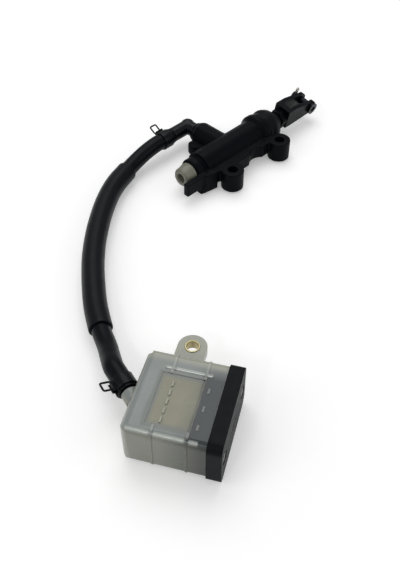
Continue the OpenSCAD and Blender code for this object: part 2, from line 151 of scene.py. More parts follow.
def skin(name, grid, wrap_rows=False, wrap_cols=True, caps=(False, False), sharp=35):
    """A surface from a grid of points, shape (rows, cols, 3).
    An end named in `caps` is closed by a fan from the mean point of its row."""
    rows, cols = grid.shape[:2]
    points = [grid.reshape(-1, 3)]
    faces = [list(f) for f in grid_faces(rows, cols, wrap_rows, wrap_cols)]
    count = rows * cols
    for row, wanted in ((0, caps[0]), (rows - 1, caps[1])):
        if wanted:
            points.append(grid[row].mean(0)[None])
            k = np.arange(cols)
            faces += [[count, row * cols + a, row * cols + b] for a, b in zip(k, (k + 1) % cols)]
            count += 1
    return mesh_object(name, np.concatenate(points), faces, sharp)


def turned(profile, sides=64, origin=(0, 0, 0), axis=(1, 0, 0), start=(0, 0, 1)):
    """Grid of a turned shape.  Point (r, h) of the profile goes round the axis:
    origin + h*axis + r*(cos t * start + sin t * side), for t from 0 to a full turn."""
    profile = np.asarray(profile, float)
    axis = np.asarray(axis, float) / np.linalg.norm(axis)
    start = np.asarray(start, float)
    start = start - axis * (start @ axis)
    start /= np.linalg.norm(start)
    side = np.cross(axis, start)
    t = np.linspace(0, 2 * np.pi, sides, endpoint=False)
    around = np.cos(t)[:, None] * start + np.sin(t)[:, None] * side
    return (
        np.asarray(origin, float)
        + profile[:, None, 1:2] * axis
        + profile[:, None, 0:1] * around[None]
    )


def rounded(profile, radius, steps=4):
    """Rounds the corners of a closed profile: each corner becomes a quadratic curve from
    the point `radius` before it to the point `radius` after it (less on short edges)."""
    p = np.asarray(profile, float)
    before, after = np.roll(p, 1, 0) - p, np.roll(p, -1, 0) - p
    lb, la = np.linalg.norm(before, axis=1), np.linalg.norm(after, axis=1)
    cut = np.minimum(radius, 0.45 * np.minimum(lb, la))[:, None]
    a, b = p + before / lb[:, None] * cut, p + after / la[:, None] * cut
    t = np.linspace(0, 1, steps)[None, :, None]
    curve = (1 - t) ** 2 * a[:, None] + 2 * t * (1 - t) * p[:, None] + t**2 * b[:, None]
    return curve.reshape(-1, p.shape[1])


def smooth_line(points, steps):
    """Catmull-Rom curve through the points: on each stretch a cubic in t that passes through
    both ends with the slope (next - previous) / 2."""
    p = np.asarray(points, float)
    q = np.concatenate([p[:1], p, p[-1:]])
    a, b, c, d = q[:-3], q[1:-2], q[2:-1], q[3:]
    t = np.linspace(0, 1, steps, endpoint=False)[None, :, None]
    a, b, c, d = (v[:, None] for v in (a, b, c, d))
    s = 0.5 * (2 * b + (c - a) * t + (2 * a - 5 * b + 4 * c - d) * t**2 + (3 * b - a - 3 * c + d) * t**3)
    return np.concatenate([s.reshape(-1, 3), p[-1:]])


def line_frames(path, up=(0, 0, 1)):
    """Tangent, side and up vectors along a path: side = tangent x up, made unit length."""
    tan = np.gradient(path, axis=0)
    tan /= np.linalg.norm(tan, axis=1)[:, None]
    side = np.cross(tan, np.asarray(up, float))
    side /= np.linalg.norm(side, axis=1)[:, None]
    return tan, side, np.cross(side, tan)


def carried(path, section, up=(0, 0, 1)):
    """Grid of a section carried along a path: point (u, v) of the section sits at
    path + u*side + v*up.  A section may be one (n, 2) outline or one outline per path point."""
    _, side, top = line_frames(path, up)
    section = np.asarray(section, float)
    if section.ndim == 2:
        section = np.broadcast_to(section, (len(path),) + section.shape)
    return path[:, None] + section[..., :1] * side[:, None] + section[..., 1:] * top[:, None]


def circle(radius, sides=24):
    """Outline of a circle: (r cos t, r sin t)."""
    t = np.linspace(0, 2 * np.pi, sides, endpoint=False)
    return radius * np.stack([np.cos(t), np.sin(t)], 1)


print("surface helpers ready")


# %% Copying a CAD node as a soft-edged piece
def copy_of(node, name, merge=2e-6):
    """A merged copy of a CAD node's mesh, as a new object at the origin."""
    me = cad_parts[node].data.copy()
    me.name = name
    me.materials.clear()
    bm = bmesh.new()
    bm.from_mesh(me)
    bmesh.ops.remove_doubles(bm, verts=bm.verts, dist=merge)
    bmesh.ops.dissolve_limit(
        bm, angle_limit=math.radians(0.5), verts=bm.verts, edges=bm.edges, use_dissolve_boundaries=False
    )
    bm.to_mesh(me)
    bm.free()
    obj = bpy.data.objects.new(name, me)
    bpy.context.scene.collection.objects.link(obj)
    return obj


def apply_modifiers(obj):
    """Bakes an object's modifiers into its mesh."""
    bpy.context.view_layer.update()
    evaluated = obj.evaluated_get(bpy.context.evaluated_depsgraph_get())
    me = bpy.data.meshes.new_from_object(evaluated)
    obj.modifiers.clear()
    old, obj.data = obj.data, me
    bpy.data.meshes.remove(old)
    return obj


def softened(node, name, width, segments=2, angle=28):
    """A CAD node with its sharp edges rounded by a Bevel of the given width."""
    obj = copy_of(node, name)
    bev = obj.modifiers.new("edge", "BEVEL")
    bev.width = width
    bev.segments = segments
    bev.limit_method = "ANGLE"
    bev.angle_limit = math.radians(angle)
    bev.use_clamp_overlap = True
    bev.miter_outer = "MITER_ARC"
    apply_modifiers(obj)
    obj.data.shade_smooth()
    obj.data.set_sharp_from_angle(angle=math.radians(50))
    even = obj.modifiers.new("even", "WEIGHTED_NORMAL")
    even.keep_sharp = True
    even.weight = 90
    apply_modifiers(obj)
    return obj


def cast(node, name, voxel, passes, factor=0.5):
    """A CAD node as a casting: its skin is rebuilt in cells of size `voxel`, then every point
    moves towards the mean of its neighbours a few times, which rounds edges and fills corners."""
    obj = copy_of(node, name)
    re = obj.modifiers.new("cells", "REMESH")
    re.mode = "VOXEL"
    re.voxel_size = voxel
    re.adaptivity = 0
    sm = obj.modifiers.new("soften", "SMOOTH")
    sm.factor = factor
    sm.iterations = passes
    apply_modifiers(obj)
    obj.data.shade_smooth()
    return obj


# %% [markdown]
# ## Finishes
#
# Effects that several finishes share are node groups.  A group gives back only masks, heights
# and colours, and each material keeps its own Principled shader with its own fixed gloss.
#
# - `fine_grain`: the pebble of a casting or a moulding, a height made from two noises.
# - `edge_wear`: a mask that is bright where the surface bends sharply outwards.
# - `settled_dust`: a mask that grows where the surface faces up.

# %% Node group helpers
def new_group(name, inputs, outputs):
    """An empty shader group with named inputs {name: default} and named float outputs."""
    group = bpy.data.node_groups.new(name, "ShaderNodeTree")
    for key, value in inputs.items():
        kind = "NodeSocketColor" if isinstance(value, tuple) else "NodeSocketFloat"
        sock = group.interface.new_socket(name=key, in_out="INPUT", socket_type=kind)
        sock.default_value = value
    for key in outputs:
        group.interface.new_socket(name=key, in_out="OUTPUT", socket_type="NodeSocketFloat")
    return group, group.nodes.new("NodeGroupInput"), group.nodes.new("NodeGroupOutput")


def add(tree, kind, links=(), **values):
    """Adds a node; `values` set its properties or inputs, `links` join (input, source) pairs."""
    node = tree.nodes.new(kind)
    for key, value in values.items():
        if key in node.bl_rna.properties and not node.bl_rna.properties[key].is_readonly:
            setattr(node, key, value)
        else:
            node.inputs[key.replace("_", " ")].default_value = value
    for key, source in links:
        tree.links.new(source, node.inputs[key])
    return node


def maths(tree, operation, a, b=None, clamp=False):
    """A Math node of two values, each a socket or a number."""
    node = tree.nodes.new("ShaderNodeMath")
    node.operation = operation
    node.use_clamp = clamp
    for k, v in ((0, a), (1, b)):
        if v is None:
            continue
        if isinstance(v, (int, float)):
            node.inputs[k].default_value = v
        else:
            tree.links.new(v, node.inputs[k])
    return node.outputs[0]


# %% The shared effects
def make_fine_grain():
    """Height = 0.65 * small noise + 0.35 * larger noise, both on object coordinates."""
    g, gin, gout = new_group("fine_grain", {"Size": 900.0}, ["Height", "Patch"])
    pos = g.nodes.new("ShaderNodeTexCoord").outputs["Object"]
    small = add(g, "ShaderNodeTexNoise", [("Vector", pos), ("Scale", gin.outputs["Size"])], Detail=3.0)
    wide = maths(g, "MULTIPLY", gin.outputs["Size"], 0.12)
    large = add(g, "ShaderNodeTexNoise", [("Vector", pos), ("Scale", wide)], Detail=2.0)
    fine = maths(g, "MULTIPLY", small.outputs["Fac"], 0.65)
    coarse = maths(g, "MULTIPLY", large.outputs["Fac"], 0.35)
    both = maths(g, "ADD", fine, coarse)
    g.links.new(both, gout.inputs["Height"])
    g.links.new(large.outputs["Fac"], gout.inputs["Patch"])
    return g


def make_edge_wear():
    """Mask = how far a rounded-over normal turns from the true one, times a noise."""
    g, gin, gout = new_group("edge_wear", {"Radius": 0.0006, "Spread": 1.0}, ["Mask"])
    geo = g.nodes.new("ShaderNodeNewGeometry")
    bev = add(g, "ShaderNodeBevel", [("Radius", gin.outputs["Radius"])], samples=4)
    dot = g.nodes.new("ShaderNodeVectorMath")
    dot.operation = "DOT_PRODUCT"
    g.links.new(bev.outputs["Normal"], dot.inputs[0])
    g.links.new(geo.outputs["Normal"], dot.inputs[1])
    turn = maths(g, "SUBTRACT", 1.0, dot.outputs["Value"], clamp=True)
    pos = g.nodes.new("ShaderNodeTexCoord").outputs["Object"]
    noise = add(g, "ShaderNodeTexNoise", [("Vector", pos)], Scale=420.0, Detail=4.0)
    patchy = maths(g, "SUBTRACT", noise.outputs["Fac"], 0.36, clamp=True)
    rough = maths(g, "MULTIPLY", patchy, 3.2, clamp=True)
    mask = maths(g, "MULTIPLY", maths(g, "MULTIPLY", turn, 7.0, clamp=True), rough)
    g.links.new(maths(g, "MULTIPLY", mask, gin.outputs["Spread"], clamp=True), gout.inputs["Mask"])
    return g


def make_settled_dust():
    """Mask = (upward part of the normal) * patchy noise * Amount."""
    g, gin, gout = new_group("settled_dust", {"Amount": 0.2}, ["Mask"])
    geo = g.nodes.new("ShaderNodeNewGeometry")
    parts = add(g, "ShaderNodeSeparateXYZ", [("Vector", geo.outputs["Normal"])])
    up = maths(g, "MAXIMUM", parts.outputs["Z"], 0.0)
    pos = g.nodes.new("ShaderNodeTexCoord").outputs["Object"]
    noise = add(g, "ShaderNodeTexNoise", [("Vector", pos)], Scale=160.0, Detail=5.0)
    patch = maths(g, "MULTIPLY", noise.outputs["Fac"], up)
    g.links.new(maths(g, "MULTIPLY", patch, gin.outputs["Amount"], clamp=True), gout.inputs["Mask"])
    return g


GRAIN, WEAR, DUST = make_fine_grain(), make_edge_wear(), make_settled_dust()
print("shared effects:", [g.name for g in bpy.data.node_groups])


# %% Building a finish from the shared effects
def linear(r, g, b):
    """Screen colour numbers 0..255 as the linear colour that Blender's sockets hold."""
    c = np.array([r, g, b], float) / 255
    low, high = c / 12.92, ((c + 0.055) / 1.055) ** 2.4
    return tuple(float(v) for v in np.where(c <= 0.04045, low, high)) + (1.0,)


def use_group(tree, group, **values):
    """Adds a shared effect to a material and sets its inputs."""
    node = tree.nodes.new("ShaderNodeGroup")
    node.node_tree = group
    for key, value in values.items():
        node.inputs[key].default_value = value
    return node


def mix_colour(tree, mask, a, b, blend="MIX"):
    """Colour a where the mask is 0 and b where it is 1; a and b are sockets or colours."""
    node = tree.nodes.new("ShaderNodeMix")
    node.data_type = "RGBA"
    node.blend_type = blend
    tree.links.new(mask, node.inputs["Factor"])
    for key, value in ((6, a), (7, b)):
        if isinstance(value, tuple):
            node.inputs[key].default_value = value
        else:
            tree.links.new(value, node.inputs[key])
    return node.outputs[2]


def finish_of(
    name,
    colour,
    patch_colour,
    rough,
    rough_spread=0.1,
    metallic=0.0,
    grain_size=900.0,
    bump=0.1,
    bump_height=0.00004,
    wear_colour=None,
    wear=0.0,
    wear_radius=0.0006,
    dust=0.0,
    dust_colour=(0.25, 0.25, 0.24, 1.0),
    coat=0.0,
    coat_rough=0.2,
    specular=0.5,
    paint=None,
):
    """A Principled finish: two close colours by patches, worn edges, dust on top, and a
    grain that moves both the roughness and the bump.  `paint(tree, colour)` may change
    the colour over the surface before wear and dust."""
    mat = bpy.data.materials.new(name)
    mat.use_nodes = True
    tree = mat.node_tree
    shader = tree.nodes["Principled BSDF"]
    shader.inputs["Metallic"].default_value = metallic
    shader.inputs["Specular IOR Level"].default_value = specular
    shader.inputs["Coat Weight"].default_value = coat
    shader.inputs["Coat Roughness"].default_value = coat_rough
    grain = use_group(tree, GRAIN, Size=grain_size)
    tone = mix_colour(tree, grain.outputs["Patch"], colour, patch_colour)
    if paint:
        tone = paint(tree, tone)
    if wear_colour:
        worn = use_group(tree, WEAR, Radius=wear_radius, Spread=wear)
        tone = mix_colour(tree, worn.outputs["Mask"], tone, wear_colour)
    if dust:
        film = use_group(tree, DUST, Amount=dust)
        tone = mix_colour(tree, film.outputs["Mask"], tone, dust_colour)
    tree.links.new(tone, shader.inputs["Base Color"])
    spread = maths(tree, "MULTIPLY", maths(tree, "SUBTRACT", grain.outputs["Patch"], 0.5), 2 * rough_spread)
    tree.links.new(maths(tree, "ADD", spread, rough, clamp=True), shader.inputs["Roughness"])
    height = grain.outputs["Height"]
    relief = add(tree, "ShaderNodeBump", [("Height", height)], Strength=bump, Distance=bump_height)
    tree.links.new(relief.outputs["Normal"], shader.inputs["Normal"])
    return mat


# %% [markdown]
# ### The metals, rubbers and plastics of this part
#
# - The casting is shot-blasted and painted satin black, so it has a fine pebble and soft gloss.
# - The clevis and nut are blackened steel; the pushrod and screws are zinc plated, and the pin
#   is black zinc.
# - The hose is smooth extruded rubber, its sleeve a duller tube, the boot a moulded rubber.
# - The reservoir is milky plastic, the cap and the elbow are black moulded plastic.

# %% Make the finishes
black_cast = finish_of(
    "black_cast", linear(8, 12, 17), linear(5, 8, 12), rough=0.42, rough_spread=0.12, grain_size=1500,
    bump=0.35, bump_height=0.00006, wear_colour=linear(44, 50, 54), wear=0.35, dust=0.02, specular=0.05,
    dust_colour=linear(54, 58, 60),
)
black_steel = finish_of(
    "black_steel", linear(9, 13, 17), linear(6, 9, 12), rough=0.36, rough_spread=0.12, grain_size=1100,
    bump=0.15, wear_colour=linear(66, 70, 72), wear=0.35, wear_radius=0.0004, specular=0.07,
)
zinc = finish_of(
    "zinc", linear(198, 197, 188), linear(172, 172, 166), rough=0.28, rough_spread=0.1, metallic=1.0,
    grain_size=700, bump=0.08, wear_colour=linear(225, 225, 222), wear=0.5, wear_radius=0.0003,
)
black_zinc = finish_of(
    "black_zinc", linear(34, 37, 42), linear(24, 27, 32), rough=0.3, rough_spread=0.1, metallic=1.0,
    grain_size=700, bump=0.08, wear_colour=linear(120, 120, 118), wear=0.35, wear_radius=0.0003,
)
spring_steel = finish_of(
    "spring_steel", linear(150, 152, 154), linear(120, 122, 126), rough=0.32, metallic=1.0,
    grain_size=800, bump=0.08,
)
clamp_steel = finish_of(
    "clamp_steel", linear(14, 18, 22), linear(10, 13, 16), rough=0.3, rough_spread=0.1,
    grain_size=900, bump=0.1, wear_colour=linear(110, 112, 110), wear=0.35, wear_radius=0.0003,
    specular=0.13,
)
piston_alloy = finish_of(
    "piston_alloy", linear(196, 190, 172), linear(178, 172, 156), rough=0.25, metallic=1.0,
    grain_size=500, bump=0.08,
)
collar_brass = finish_of(
    "collar_brass", linear(196, 186, 146), linear(160, 148, 104), rough=0.34, metallic=0.9,
    grain_size=700, bump=0.15, wear_colour=linear(226, 220, 190), wear=0.6, wear_radius=0.0003,
)
boot_rubber = finish_of(
    "boot_rubber", linear(10, 14, 18), linear(7, 10, 14), rough=0.5, rough_spread=0.1,
    grain_size=1800, bump=0.3, bump_height=0.00004, dust=0.05, wear_colour=linear(34, 40, 44),
    wear=0.3, specular=0.09, dust_colour=linear(54, 58, 60),
)
seal_rubber = finish_of(
    "seal_rubber", linear(14, 15, 16), linear(20, 21, 22), rough=0.45, grain_size=1600, bump=0.12,
)
black_plastic = finish_of(
    "black_plastic", linear(13, 17, 21), linear(9, 13, 16), rough=0.48, rough_spread=0.08,
    grain_size=2200, bump=0.3, bump_height=0.00003, wear_colour=linear(44, 49, 52),
    wear=0.3, dust=0.03, specular=0.09, dust_colour=linear(54, 58, 60),
)
elbow_plastic = finish_of(
    "elbow_plastic", linear(9, 11, 17), linear(13, 15, 21), rough=0.28, rough_spread=0.08,
    grain_size=1500, bump=0.12, specular=0.18,
)
print("finishes:", len(bpy.data.materials))

# %% [markdown]
# ## The supply hose
#
# Fluid runs down from the reservoir to the cylinder through a length of smooth rubber hose.
# One end is pushed on the elbow's spigot and the other on the reservoir's spigot, and the
# middle lies on the table.  A hose is a tube carried along a smooth curve through a list of
# points, the same points that the CAD uses, so both lie in one place.

# %% The hose's route and its tube
ELBOW_AT = np.array([-9.0, 61.3, 12.6]) * MM
ELBOW_DIR = np.array([-1.0, 0.0, 0.0])
SPIGOT_AT = np.array([-201.984, -97.0, 14.0]) * MM
SPIGOT_DIR = np.array([0.258819, 0.965926, 0.0])
LAID = np.array(
    [
        [-52, 61, 11.2], [-62.5, 60.3, 8.8], [-73, 57.8, 7.6], [-91, 51, 7.4], [-110, 39, 7.4],
        [-131, 21.5, 7.4], [-148, 4, 7.4], [-163, -15, 7.4], [-172, -28, 7.4], [-180, -42, 7.4],
        [-186, -55, 8.6], [-191, -64, 11.2],
    ]
) * MM
ROUTE = np.concatenate(
    [
        ELBOW_AT + np.array([17.2, 22.6, 27.6, 33.0])[:, None] * MM * ELBOW_DIR,
        LAID,
        SPIGOT_AT + np.array([26, 21, 14, 7.5])[:, None] * MM * SPIGOT_DIR,
    ]
)


def resampled(path, step, lip):
    """The same path with even points `step` apart, and a few close ones at both ends."""
    far = np.concatenate([[0], np.cumsum(np.linalg.norm(np.diff(path, axis=0), axis=1))])
    n = int(far[-1] / step)
    inner = np.linspace(lip, far[-1] - lip, n)
    near = lip * np.array([0, 0.15, 0.5])
    at = np.concatenate([near, inner, far[-1] - near[::-1]])
    return np.stack([np.interp(at, far, path[:, k]) for k in range(3)], 1)


def tube(name, path, outer, inner, sides=40, lip=0.0006, step=0.0016, swell=None):
    """A tube with a wall.  At distance s along the path its outside is the circle
    path(s) + outer*(cos t * side + sin t * up), its inside the same with `inner`, and the
    two join at the ends over a rounded lip.  `swell(u)` scales the outside, u from 0 to 1."""
    path = resampled(path, step, lip)
    _, side, up = line_frames(path)
    t = np.linspace(0, 2 * np.pi, sides, endpoint=False)
    ring = np.cos(t)[:, None] * side[:, None] + np.sin(t)[:, None] * up[:, None]
    radius = np.full(len(path), outer)
    drop = lip * np.array([0.7, 0.35, 0.08])
    radius[:3] -= drop
    radius[-3:] -= drop[::-1]
    if swell is not None:
        radius = radius * swell(np.linspace(0, 1, len(path)))
    out = path[:, None] + radius[:, None, None] * ring
    back = path[::-1, None] + inner * ring[::-1]
    obj = skin(name, np.concatenate([out, back]), wrap_rows=True)
    return obj, path


hose, hose_path = tube("supply_hose_rubber", smooth_line(ROUTE, 12), 5.75 * MM, 3.55 * MM)

# %% [markdown]
# A second, wider tube is slid over the middle of the hose to guard it against rubbing.
# Its ends are cut square, and it lies on the table under its own weight, so it takes the
# same curve as the hose inside it.

# %% The sleeve
sleeve, _ = tube(
    "hose_sleeve_rubber", smooth_line(LAID[2:10], 12), 7.2 * MM, 5.95 * MM, lip=0.0005,
    swell=lambda u: 1 - 0.006 * (1 + np.sin(40 * u)) / 2,
)


# %% [markdown]
# ## Spring band clamps
#
# Each hose end is held by a band of spring steel.  The band goes once round the hose, and its
# two ends stand up as tangs: one short, one a square loop, which pliers pinch together.
# The band is a flat strip carried round a circle and out along the tangs.  The loop is a
# rounded wire carried round a rectangle.

# %% The clamps
def turned_frame(at, direction, turn):
    """Axes of a place on the hose: z along `direction`, x turned by `turn` degrees from down."""
    z = np.asarray(direction, float) / np.linalg.norm(direction)
    flat = np.array([z[0], z[1], 0]) / np.hypot(z[0], z[1])
    y = np.cross([0, 0, 1], flat)
    x = np.cross(y, z)
    c, s = math.cos(math.radians(turn)), math.sin(math.radians(turn))
    return lambda p: np.asarray(at) + p @ np.stack([c * x + s * y, -s * x + c * y, z])


def clamp_mesh(name, at, direction, turn):
    """Strip: arc of radius r + 0.4 mm between the tangs, then straight out at y = +-1.3 mm.
    Loop: a rectangle with rounded corners in the plane y = 1.3 mm."""
    r = (5.75 + 0.05 + 0.4) * MM
    lean = math.asin(1.3 * MM / r)
    a = np.linspace(lean + 0.10, 2 * np.pi - lean - 0.10, 96)
    arc = np.stack([r * np.cos(a), r * np.sin(a), 0 * a], 1)
    foot = np.array([[r + 0.15 * MM, 1.3 * MM, 0], [r + 0.55 * MM, 1.32 * MM, 0]])
    tail = foot * [1, -1, 1]
    path = np.concatenate(
        [[[r + 2.0 * MM, 1.32 * MM, 0], [r + 1.2 * MM, 1.32 * MM, 0]], foot[::-1], arc, tail,
         [[r + 1.2 * MM, -1.32 * MM, 0], [r + 1.75 * MM, -1.34 * MM, 0]]]
    )
    strip = rounded(np.array([[-0.4, 0.05], [0.4, 0.05], [0.4, 7.35], [-0.4, 7.35]]) * MM, 0.16 * MM)
    width = np.ones(len(path))
    width[:4] = width[-4:] = 0.82
    half = 3.7 * MM
    sections = np.stack([np.stack([strip[:, 0], (strip[:, 1] - half) * k + half], 1) for k in width])
    band = carried(path, sections)
    x0, x1, z0, z1 = r + 1.5 * MM, r + 7.4 * MM, 1.35 * MM, 6.65 * MM
    box = np.array([[x0, z0], [x1, z0], [x1, z1], [x0, z1]])
    loop = rounded(box, 1.1 * MM, 6)
    wire = circle(1, 12) * np.array([0.62, 0.46]) * MM
    centre = np.stack([loop[:, 0], np.full(len(loop), 1.32 * MM), loop[:, 1]], 1)
    tan = np.roll(centre, -1, 0) - np.roll(centre, 1, 0)
    tan /= np.linalg.norm(tan, axis=1)[:, None]
    out = np.cross(tan, [0, 1, 0])
    ring = centre[:, None] + wire[None, :, :1] * out[:, None] + wire[None, :, 1:] * np.array([0, 1, 0])
    place = turned_frame(at, direction, turn)
    parts = []
    for grid, wrap, caps in ((band, False, (True, True)), (ring, True, (False, False))):
        shape = grid.shape
        parts.append(skin(name, place(grid.reshape(-1, 3)).reshape(shape), wrap_rows=wrap, caps=caps))
    return joined(name, parts)


def joined(name, parts):
    """Joins mesh objects into one."""
    bm = bmesh.new()
    for obj in parts:
        bm.from_mesh(obj.data)
    me = bpy.data.meshes.new(name)
    bm.to_mesh(me)
    bm.free()
    for obj in parts:
        old = obj.data
        bpy.data.objects.remove(obj)
        bpy.data.meshes.remove(old)
    me.set_sharp_from_angle(angle=math.radians(40))
    me.shade_smooth()
    me.set_sharp_from_angle(angle=math.radians(40))
    obj = bpy.data.objects.new(name, me)
    bpy.context.scene.collection.objects.link(obj)
    return obj


clamp_top = clamp_mesh("clamp_at_elbow", ELBOW_AT + 20.0 * MM * ELBOW_DIR, ELBOW_DIR, 238)
clamp_tank = clamp_mesh("clamp_at_reservoir", SPIGOT_AT + 9 * MM * SPIGOT_DIR, SPIGOT_DIR, 110)
for piece in (hose, sleeve, clamp_top, clamp_tank):
    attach(piece, "cylinder")
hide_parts("supply_hose")
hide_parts("hose_sleeve")
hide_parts("hose_clamps")


# %% Finishes of the hose, its sleeve and the clamps
def dress(obj, material):
    """Gives a piece one finish."""
    obj.data.materials.clear()
    obj.data.materials.append(material)


hose_rubber = finish_of(
    "hose_rubber", linear(8, 13, 19), linear(6, 9, 14), rough=0.34, rough_spread=0.1,
    grain_size=1300, bump=0.2, bump_height=0.00003, dust=0.02, specular=0.1, dust_colour=linear(54, 58, 60),
)
sleeve_rubber = finish_of(
    "sleeve_rubber", linear(11, 16, 22), linear(8, 12, 17), rough=0.4, rough_spread=0.12,
    grain_size=1600, bump=0.3, bump_height=0.00004, dust=0.04, wear_colour=linear(36, 42, 48),
    wear=0.3, specular=0.12, dust_colour=linear(54, 58, 60),
)
dress(hose, hose_rubber)
dress(sleeve, sleeve_rubber)
dress(clamp_top, clamp_steel)
dress(clamp_tank, clamp_steel)

# %% [markdown]
# ## The cast body
#
# The cylinder body is a gravity casting in aluminium, machined in the bore and on the faces of
# the two bosses, then painted.  A casting has no sharp inside corner, because metal would crack
# there.  Rounding every edge by hand is slow, so the CAD node's skin is rebuilt in half-millimetre
# cells and then relaxed a little: inside corners fill and outside corners round, as in a mould.

# %% The body
body = cast("cylinder_body", "body_casting", 0.48 * MM, 5, 0.5)
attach(body, "cylinder")
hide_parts("cylinder_body")
dress(body, black_cast)
print("body faces:", len(body.data.polygons))

# %% [markdown]
# ## The rubber boot
#
# The boot keeps dirt out of the bore.  Its wide end is tucked into the mouth of the cylinder and
# its lip grips the pushrod.  It is a turned shape with soft bellows, at one fixed length; a real
# boot squashes along the bore when the pushrod goes in.

# %% The boot
boot_profile = np.array(
    [
        [8.4, 20.5], [10.15, 20.5], [10.2, 25.2], [12.1, 25.35], [12.4, 27.2], [12.15, 28.6], [13.1, 31],
        [13.2, 33], [12.25, 35.1], [11.95, 36.3], [10.4, 38.2], [8.0, 40], [6.3, 41.3], [6.2, 44], [4.1, 44],
        [4.06, 40.6], [6.4, 38.8], [9, 37], [10.6, 35], [11.6, 33], [11.4, 31], [10.6, 28.5], [8.4, 26],
    ]
) * MM
boot_line = rounded(boot_profile, 1.4 * MM, 5)
boot = skin("boot_bellows", turned(boot_line, 96, (0, AXIS_Y, AXIS_Z)), wrap_rows=True, sharp=70)
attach(boot, "cylinder")
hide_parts("dust_boot")
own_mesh(boot)
dress(boot, boot_rubber)

# %% [markdown]
# ## The return spring
#
# The spring sits in the bore behind the cups and pushes the piston back.  Its wire is a circle
# carried along a helix: x grows evenly while the point goes round the bore axis.

# %% The spring
spring_lo, spring_hi = (np.array(v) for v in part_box("return_spring"))
turns = 7
u = np.linspace(0, 1, turns * 40 + 1)
angle = 2 * np.pi * turns * u
x0, x1 = spring_lo[0] + 0.6 * MM, spring_hi[0] - 0.6 * MM
coil_r, wire_r = 4.48 * MM, 0.58 * MM
radial = np.stack([0 * u, np.cos(angle), np.sin(angle)], 1)
around = np.stack([0 * u, -np.sin(angle), np.cos(angle)], 1)
middle = np.stack([x0 + (x1 - x0) * u, AXIS_Y + 0 * u, AXIS_Z + 0 * u], 1) + coil_r * radial
slope = (x1 - x0) / (2 * np.pi * turns * coil_r)
cross = np.array([1.0, 0, 0]) - slope * around
ring = circle(wire_r, 12)
grid = middle[:, None] + ring[None, :, :1] * radial[:, None] + ring[None, :, 1:] * cross[:, None]
spring = skin("spring_wire", grid, caps=(True, True))
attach(spring, "cylinder")
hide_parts("return_spring")
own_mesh(spring)
dress(spring, spring_steel)

# %% [markdown]
# ## The pushrod
#
# The rod is zinc-plated steel with a ball end that sits in the piston and a rolled thread for
# the clevis.  The thread is one grid: the radius at angle t and distance x is
# r - depth * ramp(x / pitch - t / full turn), where ramp goes up and down once per turn.

# %% The pushrod
rod_lo, rod_hi = (np.array(v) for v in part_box("pushrod"))
plain = np.array(
    [[0.0, 12.72], [0.9, 12.83], [1.9, 13.21], [2.69, 13.81], [3.29, 14.6], [3.67, 15.5],
     [3.8, 16.5], [3.7, 17.5],
     [3.9, 17.95], [3.9, 34]]
)
thread_x = np.arange(34.5, 55.4, 0.1)
threaded = np.stack([0 * thread_x + 3.97, thread_x], 1)
profile = np.concatenate([plain, threaded, [[3.5, 55.9], [0.0, 56.0]]]) * MM
grid = turned(profile, 48, (0, AXIS_Y, AXIS_Z))
t = np.linspace(0, 1, 48, endpoint=False)[None]
ramp = np.abs(((profile[:, 1:2] / (1.0 * MM) - t) % 1) * 2 - 1)
cut = 0.42 * MM * ramp * ((profile[:, 1:2] > 34.5 * MM) & (profile[:, 1:2] < 55.4 * MM))
centre = np.array([0, AXIS_Y, AXIS_Z])
off = grid - centre
off[..., 0] = 0
length = np.maximum(np.linalg.norm(off, axis=2, keepdims=True), 1e-9)
grid = grid - off / length * cut[..., None]
rod = skin("pushrod_steel", grid, sharp=40)
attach(rod, "rod")
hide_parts("pushrod")
dress(rod, zinc)

# %% [markdown]
# ## The lock nut
#
# A thin hexagon nut holds the clevis where it is set.  At angle t the outside is the smaller of
# the hexagon, flat / cos(t'), and a 30-degree cone that chamfers the corners near each face.

# %% The lock nut
nut_lo, nut_hi = (np.array(v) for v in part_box("lock_nut"))
FORK_TURN = math.radians(12)
NUT_TURN = FORK_TURN + math.radians(10)
ACROSS = 12.96 * MM / 2
x = np.concatenate([np.linspace(0, 0.9, 7), np.linspace(1.4, 3.2, 5), np.linspace(3.7, 4.6, 7)])
x = x * MM + nut_lo[0]
t = np.linspace(0, 2 * np.pi, 144, endpoint=False)
hexagon = ACROSS / np.cos(t % math.radians(60) - math.radians(30))
near = np.minimum(x - nut_lo[0], nut_hi[0] - x)
cone = ACROSS * 0.985 + near * 1.75
outside = np.minimum(hexagon[None], cone[:, None])
bore = np.full((2, 144), 3.99 * MM)
radius = np.concatenate([outside, bore])
rows = np.concatenate([x, [nut_hi[0], nut_lo[0]]])
spin = t + NUT_TURN
grid = np.stack(
    [
        np.broadcast_to(rows[:, None], radius.shape),
        AXIS_Y + radius * np.sin(-spin)[None],
        AXIS_Z + radius * np.cos(spin)[None],
    ],
    2,
)
nut = skin("nut_hexagon", grid, wrap_rows=True, sharp=25)
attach(nut, "rod")
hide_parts("lock_nut")
dress(nut, black_steel)

# %% [markdown]
# ## The clevis, its pin and the split pin
#
# The clevis is a forged fork that joins the rod to the brake pedal.  A forging has rounded
# edges, so its CAD solid gets a bevel.  The pin passes through both ears.  A split pin, bent
# from one half-round wire, keeps it there.

# %% The clevis and its pins
clevis = softened("clevis", "clevis_forging", 0.55 * MM, 3)
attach(clevis, "rod")
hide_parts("clevis")
dress(clevis, black_steel)

pin = softened("clevis_pin", "pin_steel", 0.3 * MM, 2)
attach(pin, "pin")
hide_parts("clevis_pin")
dress(pin, black_zinc)


def in_fork(p):
    """Points given from the pin's centre, with the fork's own tilt about the bore axis."""
    c, s = math.cos(FORK_TURN), math.sin(FORK_TURN)
    turn = np.array([[1, 0, 0], [0, c, s], [0, -s, c]])
    return p @ turn + np.array([79 * MM, AXIS_Y, AXIS_Z])


